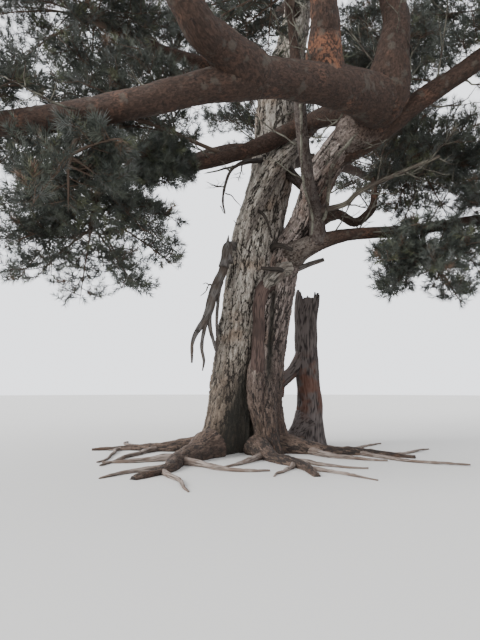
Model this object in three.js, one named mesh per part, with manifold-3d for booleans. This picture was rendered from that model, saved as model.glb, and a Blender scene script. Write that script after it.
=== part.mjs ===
// An old, open-grown pine: a fluted double trunk on a root flare, a leader and a heavy side stem that leans
// out and divides, crooked boughs, some dead limbs, a broken stem at its foot, and flat masses of needles.
// Millimetres, +Z up. The origin is the middle of the flat cut under the trunk.
// Headings are degrees round from +X towards +Y, and climbs are degrees above the level.
import * as THREE from 'three';
import { mergeVertices } from 'three/addons/utils/BufferGeometryUtils.js';
import Module from 'manifold-3d';

const wasm = await Module();
wasm.setup();

// Driving dimensions
const METRE = 1000;
const GAP = 0.3;                     // clearance between two solids that meet
const FORK_HEIGHT = 4.0 * METRE;     // the leader and the side stem part here
const BEYOND = 40 * METRE;           // larger than the whole tree
const COLLAR = { swell: 0.35, fade: 1.5 };  // how far a bough swells at its foot, and over how many radii
const TRUNK_FACETS = { stem_main: [18, 16], stem_side: [12, 11], broken_stem: [12, 5] }; // sides and rings
const BOUGH_SIDES = [[0.19, 7], [0.09, 6], [0, 4]]; // the least foot radius in metres, and the sides
const BORDER = 0.06;                 // the strip between two masses' spaces that neither enters
const SKIN = 0.97;                   // how near to a mass's edge its sprays may come

// A mass's stem, and the twigs that fork from it. Shares are of the stem's length or the mass's half sizes.
const STEM = { bend: 0.35, taper: [1, 0.85, 0.6], sideRadius: 41, sides: 5, rings: 2 };
const TWIG = { count: 4, turn: 137.5, rise: [0.66, -0.6], reach: 0.46, forks: [0.3, 0.95],
  radius: [34, 18], sides: 3, tests: [0.35, 0.5, 0.65, 0.8, 1] };
// The sprays on each twig: how many, how far apart as a share of the twig, the swing of the side ones in
// degrees, how far they lean outwards and lift, how much they roll, and the sizes that are tried.
const SPRAY = { count: 2, step: 0.45, swing: [50, 65], outwards: 0.5, flat: 0.5, lift: 0.05, roll: 1.3,
  share: 0.72, sizes: [1, 0.88, 0.76, 0.64] };

const colours = {
  bark_grey: { color: 0x6f655c, roughness: 0.95, metalness: 0 },
  bark_orange: { color: 0x7d4f36, roughness: 0.9, metalness: 0 },
  dead_wood: { color: 0x8b867d, roughness: 0.9, metalness: 0 },
  needles: { color: 0x3c4a30, roughness: 0.85, metalness: 0 },
};

// Each limb starts inside its parent, at a share of the parent's length, and goes on by reaches:
// [heading, climb, metres, radius in metres at the reach's end]. foot is the radius where it starts.
const limbs = [
  { name: 'stem_main', start: [0, 0, 0], foot: 0.5, bark: 'bark_grey', reaches: [
    [0, 89, 1.3, 0.455], [0, 83, 1.41, 0.44], [0, 81, 1.28, 0.45], [0, 77, 0.83, 0.42], [0, 79, 0.84, 0.41],
    [0, 87, 1.3, 0.37], [8, 76, 1.55, 0.285], [19, 84, 1.51, 0.21], [194, 82, 1.51, 0.14],
    [200, 83, 1.31, 0.075]] },
  { name: 'stem_side', start: [0.45, -0.08, 0], foot: 0.37, bark: 'bark_grey', reaches: [
    [315, 88, 1.3, 0.33], [352, 81, 1.32, 0.335], [355, 77, 0.92, 0.3], [345, 59, 0.46, 0.27],
    [302, 45, 0.47, 0.265], [285, 43, 0.64, 0.26], [296, 34, 0.6, 0.25], [303, 21, 0.77, 0.25],
    [292, 12, 0.66, 0.27]] },
  { name: 'stem_front', on: ['stem_side', 0.98], foot: 0.24, bark: 'bark_orange', reaches: [
    [293, 74, 0.62, 0.2], [2, 84, 0.56, 0.185], [165, 81, 1.28, 0.14], [127, 77, 1.13, 0.08]] },
  { name: 'arm_front', on: ['stem_side', 0.96], foot: 0.27, bark: 'bark_orange', reaches: [
    [222, -12, 1.05, 0.27], [214, -14, 0.82, 0.235], [211, -16, 0.71, 0.225]] },
  { name: 'bough_over', on: ['arm_front', 0.96], foot: 0.2, bark: 'bark_orange', reaches: [
    [225, 10, 0.6, 0.19], [231, 9, 0.4, 0.175], [225, 47, 0.93, 0.13], [220, 53, 0.76, 0.09]] },
  { name: 'bough_front_left', on: ['arm_front', 0.97], foot: 0.175, bark: 'bark_orange', reaches: [
    [194, -22, 0.9, 0.165], [184, -16, 0.87, 0.155], [175, -6, 1.11, 0.14], [165, 6, 0.81, 0.09]] },
  { name: 'bough_front_rise', on: ['arm_front', 0.52], foot: 0.2, bark: 'bark_orange', reaches: [
    [258, 75, 0.57, 0.18], [263, 69, 0.28, 0.17], [243, 71, 1.17, 0.11], [231, 66, 0.98, 0.07]] },
  { name: 'bough_left_mid', on: ['stem_side', 0.91], foot: 0.17, bark: 'bark_orange', reaches: [
    [125, 30, 0.81, 0.165], [133, 8, 0.69, 0.155], [172, -23, 0.74, 0.15], [187, -23, 0.83, 0.115],
    [192, -19, 0.78, 0.1], [193, -16, 0.91, 0.085]] },
  { name: 'bough_right_high', on: ['stem_side', 0.8], foot: 0.18, bark: 'bark_orange', reaches: [
    [326, 11, 0.72, 0.165], [326, 26, 0.8, 0.15], [331, 24, 0.92, 0.13], [343, 37, 1.24, 0.08]] },
  { name: 'bough_right_low', on: ['stem_side', 0.5], foot: 0.19, bark: 'bark_orange', reaches: [
    [315, 12, 0.7, 0.15], [350, 13, 0.62, 0.105], [358, 4, 1.16, 0.095], [354, 8, 1.15, 0.075]] },
  { name: 'bough_upright', on: ['bough_right_low', 0.22], foot: 0.12, bark: 'bark_orange', reaches: [
    [251, 60, 0.56, 0.11], [250, 26, 0.47, 0.1], [247, 54, 0.47, 0.095], [248, 64, 0.49, 0.095],
    [253, 71, 0.63, 0.09], [227, 81, 1.3, 0.06]] },
  { name: 'bough_inner', on: ['stem_main', 0.39], foot: 0.15, bark: 'bark_grey', reaches: [
    [295, 45, 0.66, 0.13], [3, 45, 0.59, 0.12], [23, 48, 1.15, 0.1], [34, 41, 1.2, 0.07]] },
  { name: 'bough_hook', on: ['bough_upright', 0.09], foot: 0.08, bark: 'bark_orange', reaches: [
    [25, 26, 0.5, 0.085], [29, -11, 0.42, 0.08], [17, 38, 0.44, 0.075], [25, 73, 0.39, 0.06]] },
  { name: 'bough_back', on: ['stem_main', 0.33], foot: 0.19, bark: 'bark_orange', reaches: [
    [81, 43, 1.3, 0.165], [84, 52, 1.7, 0.13], [92, 40, 1.5, 0.09]] },
  { name: 'bough_back_left', on: ['stem_main', 0.45], foot: 0.17, bark: 'bark_orange', reaches: [
    [142, 20, 1.35, 0.15], [139, 8, 1.6, 0.12], [145, 10, 1.25, 0.08]] },
  { name: 'bough_back_right', on: ['stem_main', 0.44], foot: 0.17, bark: 'bark_orange', reaches: [
    [43, 19, 1.24, 0.14], [45, 12, 1.45, 0.11], [53, 11, 1.02, 0.08]] },
  { name: 'bough_left_high', on: ['stem_main', 0.54], foot: 0.16, bark: 'bark_orange', reaches: [
    [186, 31, 1.06, 0.14], [189, 13, 1.35, 0.11], [190, 19, 1.19, 0.075]] },
  { name: 'bough_back_left_high', on: ['stem_main', 0.6], foot: 0.13, bark: 'bark_orange', reaches: [
    [147, 30, 1.1, 0.11], [150, 12, 1.0, 0.09], [141, 16, 0.85, 0.065]] },
  { name: 'bough_right_back_high', on: ['stem_main', 0.61], foot: 0.14, bark: 'bark_orange', reaches: [
    [28, 24, 1.09, 0.12], [29, 22, 1.11, 0.09], [27, 36, 0.83, 0.065]] },
  { name: 'bough_front_high', on: ['stem_main', 0.68], foot: 0.13, bark: 'bark_orange', reaches: [
    [252, 20, 1.08, 0.11], [248, 25, 1.19, 0.085], [251, 39, 0.81, 0.06]] },
  { name: 'bough_back_high', on: ['stem_main', 0.73], foot: 0.12, bark: 'bark_orange', reaches: [
    [114, 24, 1.09, 0.1], [114, 22, 1.06, 0.075], [112, 36, 0.67, 0.055]] },
  { name: 'bough_crown_left', on: ['stem_main', 0.82], foot: 0.1, bark: 'bark_orange', reaches: [
    [192, 29, 1.04, 0.085], [193, 24, 1.01, 0.06]] },
  { name: 'bough_crown_right', on: ['stem_main', 0.86], foot: 0.1, bark: 'bark_orange', reaches: [
    [346, 28, 0.81, 0.08], [352, 23, 0.77, 0.06]] },
  { name: 'dead_branch_right', on: ['bough_upright', 0.14], foot: 0.05, bark: 'dead_wood', reaches: [
    [336, 6, 0.51, 0.045], [340, 35, 0.36, 0.04], [350, 22, 0.92, 0.032], [346, 19, 0.44, 0.022]] },
  { name: 'dead_branch_left', on: ['stem_main', 0.44], foot: 0.045, bark: 'dead_wood', reaches: [
    [224, -20, 0.76, 0.045], [203, -31, 0.38, 0.03], [196, -66, 0.32, 0.024], [181, -81, 0.35, 0.02],
    [0, -81, 0.25, 0.012]] },
  { name: 'dead_limb_hanging', on: ['stem_main', 0.28], foot: 0.08, bark: 'dead_wood', reaches: [
    [217, 17, 0.62, 0.06], [215, -76, 0.47, 0.08], [199, -68, 0.48, 0.09], [189, -75, 0.47, 0.075],
    [193, -60, 0.47, 0.035], [175, -86, 0.44, 0.018]] },
  { name: 'dead_stub_right', on: ['stem_side', 0.45], foot: 0.05, bark: 'dead_wood', reaches: [
    [350, 22, 0.55, 0.036], [356, 16, 0.3, 0.02]] },
  { name: 'broken_stem', start: [1.45, 0.9, 0], foot: 0.27, bark: 'dead_wood', splinters: 0.22, reaches: [
    [0, 89, 0.88, 0.235], [180, 88, 0.91, 0.225], [0, 90, 0.73, 0.235], [0, 83, 0.5, 0.24]] },
  { name: 'broken_spur', on: ['broken_stem', 0.66], foot: 0.1, bark: 'dead_wood', reaches: [
    [196, -62, 0.55, 0.13], [190, -42, 0.42, 0.13], [185, -80, 0.28, 0.11]] },
  { name: 'root_front_left', start: [-0.45, -0.75, 0.13], foot: 0.22, bark: 'bark_grey', reaches: [
    [245, -5, 0.95, 0.14], [263, -2, 0.7, 0.09], [240, -2, 0.65, 0.05]] },
  { name: 'root_left', start: [-0.5, -0.05, 0.1], foot: 0.18, bark: 'bark_grey', reaches: [
    [186, -4, 0.8, 0.11], [168, -2, 0.75, 0.07], [188, -2, 0.6, 0.04]] },
  { name: 'root_front', start: [0.35, -0.5, 0.1], foot: 0.18, bark: 'bark_grey', reaches: [
    [284, -4, 0.8, 0.11], [300, -2, 0.8, 0.08], [279, -2, 0.7, 0.045]] },
  { name: 'root_right', start: [0.75, -0.25, 0.1], foot: 0.19, bark: 'bark_grey', reaches: [
    [338, -4, 0.75, 0.12], [350, -2, 0.8, 0.08], [331, -2, 0.75, 0.045]] },
  { name: 'root_back', start: [0.7, 0.15, 0.12], foot: 0.2, bark: 'bark_grey', reaches: [
    [52, -4, 0.4, 0.17], [40, -4, 0.5, 0.15], [46, 0, 0.2, 0.14]] },
];

// The buttresses of the root flare: the limb that each stands on, its heading, how far it stands out at the
// ground and the height over which it fades, in metres, and how wide it is, in degrees.
const flare = [
  { on: 'stem_main', heading: 238, reach: 0.66, height: 0.75, width: 24 },
  { on: 'stem_main', heading: 184, reach: 0.34, height: 0.5, width: 24 },
  { on: 'stem_main', heading: 118, reach: 0.42, height: 0.55, width: 26 },
  { on: 'stem_main', heading: 62, reach: 0.3, height: 0.5, width: 22 },
  { on: 'stem_side', heading: 286, reach: 0.36, height: 0.5, width: 24 },
  { on: 'stem_side', heading: 338, reach: 0.42, height: 0.5, width: 24 },
  { on: 'stem_side', heading: 30, reach: 0.3, height: 0.45, width: 24 },
];
// Long shallow folds that run up the trunk, turn a little with height, and fade.
const FLUTE = { count: 5, depth: 0.05, height: 5, turn: 9 };

// Masses of needles: the name, the limb that each grows from, the share of the limb's length, then the middle
// and the half sizes of the space that the mass keeps to, in metres.
const masses = [
  ['left_low', 'bough_left_mid', 1, [-2.45, -1.3, 3.55], [1.75, 1.35, 1.25]],
  ['left_inner', 'bough_left_mid', 0.8, [-1.3, -1.5, 4.75], [0.7, 0.75, 0.6]],
  ['left_upper', 'bough_left_mid', 0.62, [-2.2, -1.3, 5.95], [1.85, 1.4, 1.15]],
  ['front_left', 'bough_front_left', 1, [-3.9, -3.6, 4.6], [1.7, 1.6, 1.3]],
  ['front_under', 'bough_front_left', 0.55, [-1.9, -3.9, 3.5], [1.0, 0.9, 0.65]],
  ['over', 'bough_over', 1, [-1.8, -5.6, 6.7], [1.85, 1.6, 1.25]],
  ['front_rise', 'bough_front_rise', 1, [0.5, -4.5, 8.3], [1.85, 1.6, 1.25]],
  ['front_stem', 'stem_front', 1, [2.4, -2.7, 9.4], [1.85, 1.7, 1.4]],
  ['upright', 'bough_upright', 1, [0.2, -2.1, 7.5], [1.6, 1.4, 1.1]],
  ['right_high', 'bough_right_high', 1, [4.6, -2.6, 6.6], [1.8, 1.65, 1.25]],
  ['right_low', 'bough_right_low', 1, [4.85, -0.95, 4.3], [1.4, 1.3, 1.2]],
  ['right_under', 'bough_right_low', 0.72, [3.35, -0.85, 3.25], [1.2, 1.1, 0.95]],
  ['right_mid', 'bough_hook', 1, [4.0, -0.2, 5.35], [1.6, 1.3, 1.3]],
  ['inner', 'bough_inner', 1, [3.1, 0.4, 7.8], [1.7, 1.5, 1.25]],
  ['back', 'bough_back', 1, [0.8, 4.0, 8.9], [2.05, 1.7, 1.4]],
  ['back_left', 'bough_back_left', 1, [-3.1, 3.0, 7.2], [1.85, 1.55, 1.2]],
  ['back_right', 'bough_back_right', 1, [4.2, 3.2, 7.1], [1.9, 1.8, 1.3]],
  ['left_high', 'bough_left_high', 1, [-3.2, -0.6, 8.4], [2.05, 1.85, 1.4]],
  ['back_left_high', 'bough_back_left_high', 1, [-1.8, 2.0, 9.4], [1.9, 1.7, 1.3]],
  ['right_back_high', 'bough_right_back_high', 1, [3.9, 1.6, 9.5], [1.95, 1.7, 1.3]],
  ['front_high', 'bough_front_high', 1, [0.1, -2.9, 10.5], [1.85, 1.65, 1.3]],
  ['back_high', 'bough_back_high', 1, [0.2, 2.8, 11.1], [1.85, 1.6, 1.25]],
  ['crown_left', 'bough_crown_left', 1, [-1.2, -0.4, 11.8], [1.7, 1.6, 1.25]],
  ['crown_right', 'bough_crown_right', 1, [3.0, -0.3, 12.0], [1.65, 1.55, 1.25]],
  ['top', 'stem_main', 1, [0.9, 0, 13.35], [1.7, 1.6, 1.25]],
].map(([name, limb, share, centre, half]) => ({ name: `mass_${name}`, limb, share, centre, half }));

// A number from 0 to 1 that looks random and is the same each time for the same n.
const chance = (n) => {
  const s = Math.sin(n * 12.9898) * 43758.5453;
  return s - Math.floor(s);
};

const pointing = (heading, climb) => new THREE.Vector3(1, 0, 0)
  .applyAxisAngle(new THREE.Vector3(0, -1, 0), THREE.MathUtils.degToRad(climb))
  .applyAxisAngle(new THREE.Vector3(0, 0, 1), THREE.MathUtils.degToRad(heading));

const vector = (metres) => new THREE.Vector3(...metres).multiplyScalar(METRE);

function solidOf(geometry) {
  const bare = geometry.clone();
  bare.deleteAttribute('normal');
  bare.deleteAttribute('uv');
  const merged = mergeVertices(bare, 1e-3);
  return new wasm.Manifold(new wasm.Mesh({
    numProp: 3,
    vertProperties: new Float32Array(merged.attributes.position.array),
    triVerts: new Uint32Array(merged.index.array),
  }));
}

function geometryOf(solid) {
  const mesh = solid.getMesh();
  const geometry = new THREE.BufferGeometry();
  geometry.setAttribute('position', new THREE.BufferAttribute(new Float32Array(mesh.vertProperties), 3));
  geometry.setIndex(new THREE.BufferAttribute(new Uint32Array(mesh.triVerts), 1));
  return geometry.toNonIndexed();
}

const largest = (solid) => solid.decompose().sort((a, b) => b.volume() - a.volume())[0];

// Everything above or below a level, to cut with.
function halfSpace(level, above) {
  const box = new THREE.BoxGeometry(BEYOND, BEYOND, BEYOND);
  box.translate(0, 0, level + (above ? 1 : -1) * BEYOND / 2);
  return solidOf(box);
}

// The line and the radius of a limb, by the share of its length.
function routeOf(points, radii) {
  const curve = new THREE.CatmullRomCurve3(points, false, 'catmullrom', 0.5);
  const last = radii.length - 1;
  const at = (share) => curve.getPointAt(THREE.MathUtils.clamp(share, 0, 1));
  const radius = (share) => {
    const t = curve.getUtoTmapping(THREE.MathUtils.clamp(share, 0, 1)) * last;
    const k = Math.min(Math.floor(t), last - 1);
    return THREE.MathUtils.lerp(radii[k], radii[k + 1], t - k);
  };
  const tangent = (share) => curve.getTangentAt(THREE.MathUtils.clamp(share, 0, 1));
  return { at, radius, tangent, length: curve.getLength() };
}

// A closed cylinder bent along a route. swell(share, heading) scales the radius, ease thickens the whole, and
// splinters is how far the corners of a broken end stand up and its middle sinks, in metres.
function tube(route, sides, rings, { ease = 0, swell = () => 1, splinters = 0 } = {}) {
  const geometry = new THREE.CylinderGeometry(1, 1, 1, sides, rings);
  const frames = [];
  let across = new THREE.Vector3(0, 1, 0).cross(route.tangent(0));
  if (across.length() < 0.1) across = new THREE.Vector3(1, 0, 0);
  for (let k = 0; k <= rings; k += 1) {
    const along = route.tangent(k / rings);
    across.addScaledVector(along, -across.dot(along)).normalize();
    frames.push({ along, across: across.clone(), side: across.clone().cross(along) });
  }
  const place = geometry.attributes.position;
  for (let i = 0; i < place.count; i += 1) {
    const share = place.getY(i) + 0.5;
    const frame = frames[Math.round(share * rings)];
    const out = new THREE.Vector3()
      .addScaledVector(frame.across, place.getX(i))
      .addScaledVector(frame.side, place.getZ(i));
    const heading = THREE.MathUtils.radToDeg(Math.atan2(out.y, out.x));
    const reach = out.length() * (route.radius(share) * swell(share, heading) + ease);
    const atTop = share > 1 - 0.5 / rings;
    const atFoot = share < 0.5 / rings;
    const torn = out.length() > 0.5 ? chance(Math.round(heading) + 360) - 0.4 : -0.6;
    const end = atFoot ? -ease : atTop ? ease + torn * splinters * METRE : 0;
    const point = route.at(share).addScaledVector(out.normalize(), reach).addScaledVector(frame.along, end);
    place.setXYZ(i, point.x, point.y, point.z);
  }
  return solidOf(geometry);
}

// Each limb's route, worked out in the order of the list, because a limb starts on an earlier one.
const routes = {};
for (const limb of limbs) {
  const parent = limb.on && routes[limb.on[0]];
  const point = parent ? parent.at(limb.on[1]) : vector(limb.start);
  const points = [point.clone()];
  for (const [heading, climb, metres] of limb.reaches) {
    point.addScaledVector(pointing(heading, climb), metres * METRE);
    points.push(point.clone());
  }
  const radii = [limb.foot, ...limb.reaches.map((reach) => reach[3])];
  routes[limb.name] = routeOf(points, radii.map((radius) => radius * METRE));
  limb.buried = parent ? parent.radius(limb.on[1]) : 0;
}

const awayFrom = (a, b) => Math.abs(((a - b + 540) % 360) - 180);

// The flare and the flutes of the two trunk tubes, and the collar of every other limb.
function swellOf(limb) {
  const route = routes[limb.name];
  const buttresses = flare.filter((b) => b.on === limb.name);
  return (share, heading) => {
    const height = route.at(share).z / METRE;
    if (buttresses.length) {
      const phase = THREE.MathUtils.degToRad(FLUTE.count * (heading + FLUTE.turn * height));
      let grown = 1 + FLUTE.depth * Math.cos(phase) * Math.exp(-height / FLUTE.height);
      for (const b of buttresses) {
        const over = Math.exp(-((awayFrom(heading, b.heading) / b.width) ** 2));
        grown += (b.reach * METRE / route.radius(share)) * over * Math.exp(-height / b.height);
      }
      return grown;
    }
    const beyond = Math.max(0, share * route.length - limb.buried);
    return 1 + COLLAR.swell * Math.exp(-beyond / (COLLAR.fade * limb.foot * METRE));
  };
}

const boxesMeet = (a, b) => [0, 1, 2].every((k) => a.min[k] < b.max[k] && b.min[k] < a.max[k]);

// The trunk is both lower tubes in one, from the ground to the fork.
const ground = halfSpace(0, false);
function limbSolid(limb, ease) {
  const sidesByFoot = BOUGH_SIDES.find(([foot]) => limb.foot > foot)[1];
  const [sides, rings] = TRUNK_FACETS[limb.name] ?? [sidesByFoot, limb.reaches.length + 1];
  const { name, splinters } = limb;
  return tube(routes[name], sides, rings, { ease, swell: swellOf(limb), splinters }).subtract(ground);
}

const solids = [];   // { name, solid, eased, bark } in the order in which they are cut
function keep(name, bark, solid, eased) {
  solids.push({ name, bark, solid: largest(solid), eased });
}

const [main, side] = limbs;
const trunkAt = (ease) => limbSolid(main, ease).add(limbSolid(side, ease))
  .subtract(halfSpace(FORK_HEIGHT + ease, true));
const belowFork = halfSpace(FORK_HEIGHT + GAP, false);
const [mainEased, sideEased] = [limbSolid(main, GAP), limbSolid(side, GAP)];
keep('trunk', 'bark_grey', trunkAt(0), trunkAt(GAP));
keep(main.name, main.bark, limbSolid(main, 0).subtract(belowFork), mainEased);
keep(side.name, side.bark, limbSolid(side, 0).subtract(belowFork).subtract(mainEased), sideEased);

for (const limb of limbs.slice(2)) {
  let solid = limbSolid(limb, 0);
  for (const earlier of solids) {
    if (boxesMeet(solid.boundingBox(), earlier.eased.boundingBox())) solid = solid.subtract(earlier.eased);
  }
  keep(limb.name, limb.bark, solid, limbSolid(limb, GAP));
}

const clearOfAll = (solid) => solids.every(({ solid: other, eased = other }) =>
  !boxesMeet(solid.boundingBox(), eased.boundingBox()) || solid.intersect(eased).volume() === 0);

// How deep a point is in a mass's space: 0 in its middle and 1 at its edge.
function depthIn(mass, point) {
  const [x, y, z] = mass.centre.map((c, k) => (point.getComponent(k) / METRE - c) / mass.half[k]);
  return Math.hypot(x, y, z);
}
const inOwnSpace = (mass, point) => {
  const depth = depthIn(mass, point);
  return depth < SKIN && masses.every((other) => other === mass || depth < depthIn(other, point) - BORDER);
};

// A spray of needles: a flat blade with three teeth, thick in the middle, its root just through the twig.
// Each pair is a corner's heading from the root in degrees and its distance as a share of the length.
const TEETH = [[0, 1], [24, 0.48], [44, 0.92]];
const half = TEETH.slice(1);
const BLADE = {
  corners: [...TEETH, [180, 0.01], ...half.map(([turn, far]) => [-turn, far]).reverse()],
  middle: 0.34, above: 0.18, below: 0.1,
};
function sprayPoints(foot, along, up, length) {
  const across = up.clone().cross(along).normalize();
  const lift = along.clone().cross(across);
  const at = (x, y, z) => foot.clone().addScaledVector(along, x * length)
    .addScaledVector(across, y * length).addScaledVector(lift, z * length);
  return {
    top: at(BLADE.middle, 0, BLADE.above),
    bottom: at(BLADE.middle, 0, -BLADE.below),
    rim: BLADE.corners.map(([turn, far]) => [THREE.MathUtils.degToRad(turn), far])
      .map(([turn, far]) => at(far * Math.cos(turn), far * Math.sin(turn), 0)),
  };
}
function spraySolid({ top, bottom, rim }) {
  const count = rim.length;
  const geometry = new THREE.SphereGeometry(1, count, 2);
  const place = geometry.attributes.position;
  for (let i = 0; i < place.count; i += 1) {
    const turn = Math.atan2(place.getZ(i), place.getX(i)) / (2 * Math.PI) * count;
    const level = place.getY(i);
    const onRim = rim[(Math.round(-turn) + 2 * count) % count];
    const to = level > 0.5 ? top : level < -0.5 ? bottom : onRim;
    place.setXYZ(i, to.x, to.y, to.z);
  }
  return solidOf(geometry);
}

// The sprays of one twig, largest size first. One that would leave the space or touch a limb is left out.
function spraysOn(twig, mass, seed) {
  const made = [];
  for (let j = 0; j < SPRAY.count; j += 1) {
    const share = 1 - SPRAY.step * j;
    const foot = twig.at(Math.min(share, SKIN));
    const side = j === 0 ? 0 : (j % 2 ? 1 : -1);
    const swing = side * THREE.MathUtils.lerp(...SPRAY.swing, chance(seed + 2 + j));
    const away = foot.clone().sub(vector(mass.centre)).normalize();
    const along = twig.tangent(share).lerp(away, SPRAY.outwards)
      .applyAxisAngle(new THREE.Vector3(0, 0, 1), THREE.MathUtils.degToRad(swing));
    along.setZ(SPRAY.flat * along.z + SPRAY.lift).normalize();
    const roll = (n) => SPRAY.roll * (chance(seed + n + j) - 0.5);
    const up = new THREE.Vector3(roll(5), roll(8), 1);
    const full = SPRAY.share * METRE * (mass.half[0] + mass.half[1]) / 2;
    const spray = SPRAY.sizes.map((size) => sprayPoints(foot, along, up, full * size))
      .filter(({ top, bottom, rim }) => [top, bottom, ...rim].every((p) => inOwnSpace(mass, p)))
      .map(spraySolid).find(clearOfAll);
    if (spray) made.push(spray);
  }
  return made;
}

// A mass: one stem from its limb to the middle, twigs that fork from it by the golden turn towards the edge,
// and sprays along each twig.
function massSolid(mass, number) {
  const limb = routes[mass.limb];
  const atTip = mass.share === 1;
  const middle = vector(mass.centre);
  const tangent = atTip ? limb.tangent(1) : middle.clone().sub(limb.at(mass.share)).normalize();
  const foot = limb.at(mass.share).addScaledVector(tangent, atTip ? GAP : 0);
  const bend = foot.clone().addScaledVector(tangent, STEM.bend * foot.distanceTo(middle));
  const footRadius = atTip ? limb.radius(1) : STEM.sideRadius;
  const stem = routeOf([foot, bend, middle], STEM.taper.map((t) => t * footRadius));
  let solid = tube(stem, STEM.sides, STEM.rings);
  for (let k = 0; k < TWIG.count; k += 1) {
    const seed = 100 * number + 7 * k;
    const rise = THREE.MathUtils.lerp(...TWIG.rise, k / (TWIG.count - 1));
    const level = pointing(TWIG.turn * k + 360 * chance(seed), 0).multiplyScalar(Math.sqrt(1 - rise ** 2));
    const tip = vector(mass.half).multiply(level.setZ(rise)).multiplyScalar(TWIG.reach).add(middle);
    const fork = stem.at(THREE.MathUtils.lerp(...TWIG.forks, chance(seed + 1)));
    const twig = routeOf([fork, tip], TWIG.radius);
    const rod = tube(twig, TWIG.sides, 1);
    if (!TWIG.tests.every((share) => inOwnSpace(mass, twig.at(share))) || !clearOfAll(rod)) continue;
    solid = solid.add(rod);
    for (const spray of spraysOn(twig, mass, seed)) solid = solid.add(spray);
  }
  if (!atTip) solid = solid.subtract(solids.find((s) => s.name === mass.limb).eased);
  return largest(solid);
}

masses.forEach((mass, number) => {
  solids.push({ name: mass.name, bark: 'needles', solid: massSolid(mass, number) });
});

const materials = Object.fromEntries(Object.entries(colours).map(
  ([name, looks]) => [name, new THREE.MeshStandardMaterial({ name, ...looks })]));
const tree = new THREE.Group();
for (const { name, bark, solid } of solids) {
  const mesh = new THREE.Mesh(geometryOf(solid), materials[bark]);
  mesh.name = name;
  tree.add(mesh);
}
export default tree;
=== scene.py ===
import math

import bmesh
import bpy
import numpy as np
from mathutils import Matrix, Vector, noise


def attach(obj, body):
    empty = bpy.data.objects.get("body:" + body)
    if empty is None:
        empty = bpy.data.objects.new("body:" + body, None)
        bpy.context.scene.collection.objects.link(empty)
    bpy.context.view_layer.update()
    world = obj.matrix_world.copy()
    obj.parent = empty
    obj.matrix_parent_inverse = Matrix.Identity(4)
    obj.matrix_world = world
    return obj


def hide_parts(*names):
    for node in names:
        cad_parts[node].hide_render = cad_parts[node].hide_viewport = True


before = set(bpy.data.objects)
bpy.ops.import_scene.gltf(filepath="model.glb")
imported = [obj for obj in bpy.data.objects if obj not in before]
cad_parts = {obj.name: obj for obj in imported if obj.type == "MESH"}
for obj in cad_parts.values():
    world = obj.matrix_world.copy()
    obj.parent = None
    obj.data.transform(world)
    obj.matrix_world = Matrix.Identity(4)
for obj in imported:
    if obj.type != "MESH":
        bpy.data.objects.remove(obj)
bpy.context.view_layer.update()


# The trunk and its leader: one stem from the ground to the top, spread on buttresses and drawn up in long
# folds, with a sunk hollow between the front buttresses that is darkened with painted shade. Thick grey bark
# in upright plates, deeply cracked, with paler plate faces, lichen, and brown in the cracks.
def chance(n):
    """A number from 0 to 1 that looks random and is the same each time for the same n."""
    s = np.sin(np.asarray(n, float) * 12.9898) * 43758.5453
    return s - np.floor(s)


def pointing(heading, climb):
    """The direction of a heading, round from +X towards +Y, and a climb above the level, in degrees."""
    heading, climb = math.radians(heading), math.radians(climb)
    level = math.cos(climb)
    return np.array([level * math.cos(heading), level * math.sin(heading), math.sin(climb)])


def rough(spots):
    """Noise at each spot, from -1 to 1."""
    return np.array([noise.noise(p) for p in spots])


SEED = 1795671434    # for drift, which Blender otherwise seeds from the clock, so that no two runs agree
noise.seed_set(SEED)


def drift(points):
    """A small offset for each point, each way."""
    return np.reshape([noise.noise_vector(p) for p in points.reshape(-1, 3)], points.shape)


def shown(name, data):
    """A new object at the origin, linked to the scene."""
    made = bpy.data.objects.new(name, data)
    bpy.context.scene.collection.objects.link(made)
    return made


class Route:
    """A limb's smooth line through its points, and its radius, by the share of its length."""

    def __init__(self, points, radii):
        points = np.array(points, float)
        last = len(points) - 1
        ends = np.vstack([2 * points[0] - points[1], points, 2 * points[-1] - points[-2]])
        t = np.linspace(0, last, 64 * last + 1)
        k = np.minimum(t.astype(int), last - 1)
        f = (t - k)[:, None]
        before, here, there, after = (ends[k + j] for j in range(4))
        leave, arrive = (there - before) / 2, (after - here) / 2
        self.line = (
            (2 * f**3 - 3 * f**2 + 1) * here + (f**3 - 2 * f**2 + f) * leave
            + (3 * f**2 - 2 * f**3) * there + (f**3 - f**2) * arrive
        )
        run = np.concatenate([[0], np.cumsum(np.linalg.norm(np.diff(self.line, axis=0), axis=1))])
        self.length = run[-1]
        self.shares = run / run[-1]
        self.radii = np.interp(t, range(last + 1), radii)
        self.foot, self.buried = radii[0], 0

    def at(self, share):
        return np.stack([np.interp(share, self.shares, axis) for axis in self.line.T], -1)

    def radius(self, share):
        return np.interp(share, self.shares, self.radii)

    def along(self, share):
        ahead = self.at(np.minimum(np.add(share, 0.002), 1)) - self.at(np.maximum(np.add(share, -0.002), 0))
        return ahead / np.linalg.norm(ahead, axis=-1, keepdims=True)


routes = {}


def grow(name, foot, reaches, start=None, on=None):
    """A limb from a point or a share of another limb, by reaches: heading, climb, metres, end radius."""
    points = [routes[on[0]].at(on[1]) if on else np.array(start, float)]
    for heading, climb, metres, _ in reaches:
        points.append(points[-1] + metres * pointing(heading, climb))
    routes[name] = Route(points, [foot] + [reach[3] for reach in reaches])
    if on:
        routes[name].buried = routes[on[0]].radius(on[1])


LEVEL = 0.6                  # bark that stands as high as this lies on the limb's own radius
LIT = (-0.75, -0.3, 0.59)    # the direction that the light comes from; facets that face away from it get painted shade


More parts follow.
